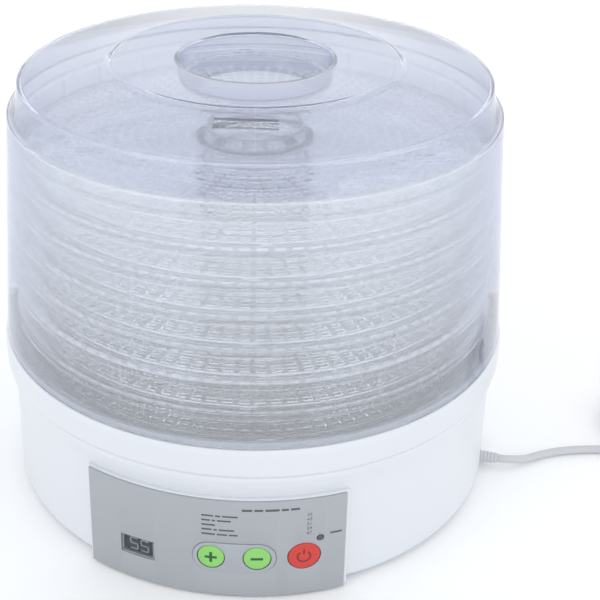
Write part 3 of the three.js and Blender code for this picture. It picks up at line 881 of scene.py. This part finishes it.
def plug_grip():
    """The moulded plug body: a rounded block with a shallow groove, narrowing to a plain tapered neck."""
    low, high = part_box("plug_body")
    x, z = (low.x + high.x) / 2, (low.z + high.z) / 2
    half = Vector(((high.x - low.x) / 2, 0, (high.z - low.z) / 2))
    neck = 4.6 * MM
    stations = [(0.0, 0.16), (0.06, 0.34), (0.3, 0.42), (0.36, 0.7), (0.42, 0.93), (0.52, 1.0), (0.6, 0.93),
                (0.68, 0.93), (0.76, 1.0), (0.94, 1.0), (1.0, 0.94)]
    bm = bmesh.new()
    loops = []
    for share, size in stations:
        y = low.y + (high.y - low.y) * share
        if share > 0.33:
            w, h, power = half.x * size, half.z * size, 0.55
        else:
            w, h, power = neck * size / 0.42, neck * size / 0.42, 1.0
        loop = []
        for k in range(32):
            c, d = math.cos(2 * math.pi * k / 32), math.sin(2 * math.pi * k / 32)
            cx, cz = math.copysign(abs(c) ** power, c), math.copysign(abs(d) ** power, d)
            loop.append(bm.verts.new((x + w * cx, y, z + h * cz)))
        loops.append(loop)
    for one, two in zip(loops, loops[1:]):
        for k in range(32):
            bm.faces.new((one[k], one[(k + 1) % 32], two[(k + 1) % 32], two[k]))
    bm.faces.new(loops[0])
    bm.faces.new(reversed(loops[-1]))
    grip = new_object("plug_grip", bm, VINYL, 50)
    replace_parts(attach(grip, "base"), "plug_body")


# ---------------------------------------------------------------- carried-over CAD nodes

FINISHES = {
    "bottom_cover": WHITE, "air_grille": DECK_WHITE, "heater_shroud": STEEL, "heater_frame": MICA,
    "heating_coil": STEEL, "thermal_fuse": STEEL, "temperature_probe": STEEL, "fan_motor": DARK,
    "motor_bracket": STEEL, "motor_shaft": STEEL, "fan_impeller": DARK, "switch_plus": DARK,
    "switch_minus": DARK, "switch_power": DARK, "control_board": BOARD, "cord_tie": DARK,
    "plug_pin_left": BRASS, "plug_pin_right": BRASS,
}


def dress_cad_nodes():
    """Gives the CAD parts that stay their finishes."""
    finishes = dict(FINISHES)
    finishes.update({f"foot_{k}": RUBBER for k in range(1, 5)})
    finishes.update({f"bottom_screw_{k}": STEEL for k in range(1, 5)})
    for node, material in finishes.items():
        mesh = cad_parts[node].data
        mesh.materials.clear()
        mesh.materials.append(material)


# ---------------------------------------------------------------- stage

HORIZON_GLOW = 1.55
ZENITH_GLOW = 0.8


def stage():
    """The pale floor, and soft light from all round that is weaker overhead."""
    pale = plastic("floor_pale", (0.94, 0.94, 0.945), (0.95, 0.95, 0.955), (0.6, 0.7), 200, 0.02)
    bm = bmesh.new()
    bmesh.ops.create_grid(bm, x_segments=1, y_segments=1, size=6)
    new_object("floor", bm, pale)
    world = bpy.data.worlds.new("studio")
    bpy.context.scene.world = world
    world.use_nodes = True
    nodes, links = world.node_tree.nodes, world.node_tree.links
    background = nodes["Background"]
    background.inputs["Color"].default_value = (0.96, 0.975, 1.0, 1)
    height = nodes.new("ShaderNodeSeparateXYZ")
    brightness = nodes.new("ShaderNodeMapRange")
    brightness.inputs["To Min"].default_value = HORIZON_GLOW
    brightness.inputs["To Max"].default_value = ZENITH_GLOW
    links.new(nodes.new("ShaderNodeTexCoord").outputs["Generated"], height.inputs[0])
    links.new(height.outputs["Z"], brightness.inputs["Value"])
    links.new(brightness.outputs["Result"], background.inputs["Strength"])


def area_light(name, position, target, size, power):
    light = bpy.data.lights.new(name, "AREA")
    light.shape = "RECTANGLE"
    light.size, light.size_y = size
    light.energy = power
    obj = bpy.data.objects.new(name, light)
    obj.location = position
    obj.rotation_euler = (Vector(target) - Vector(position)).to_track_quat("-Z", "Y").to_euler()
    bpy.context.scene.collection.objects.link(obj)


def lights():
    area_light("key", (-1.1, -1.3, 1.5), (0, 0, 0.15), (0.9, 0.9), 4)
    area_light("fill", (1.6, -0.9, 1.2), (0, 0, 0.15), (1.2, 1.2), 4)
    area_light("top", (0.1, 0.6, 1.9), (0, 0, 0.2), (1.4, 1.0), 3)


def camera():
    data = bpy.data.cameras.new("camera")
    data.lens = CAMERA["lens"]
    data.sensor_width = 36
    data.shift_x, data.shift_y = CAMERA["shift"]
    data.clip_start = 0.01
    obj = bpy.data.objects.new("camera", data)
    position = polar(CAMERA["distance"], CAMERA["azimuth"], CAMERA["height"])
    turn = (Matrix.Rotation(CAMERA["azimuth"], 4, "Z")
            @ Matrix.Rotation(math.pi / 2 - CAMERA["pitch"], 4, "X")
            @ Matrix.Rotation(CAMERA["roll"], 4, "Z"))
    obj.matrix_world = Matrix.Translation(position) @ turn
    bpy.context.scene.collection.objects.link(obj)
    bpy.context.scene.camera = obj


def picture_settings():
    """Enough bounces for light to cross all the clear walls."""
    scene = bpy.context.scene
    scene.view_settings.view_transform = "Standard"
    scene.cycles.max_bounces = 128
    scene.cycles.transmission_bounces = 128
    scene.cycles.glossy_bounces = 64
    scene.cycles.diffuse_bounces = 40


camera()
strain_sleeve()
plug_grip()
power_cord()
base_body()
control_panel()
lcd()
buttons()
panel_print()
led()
deck()
bell_cover()
trays()
dress_cad_nodes()
stage()
lights()
picture_settings()
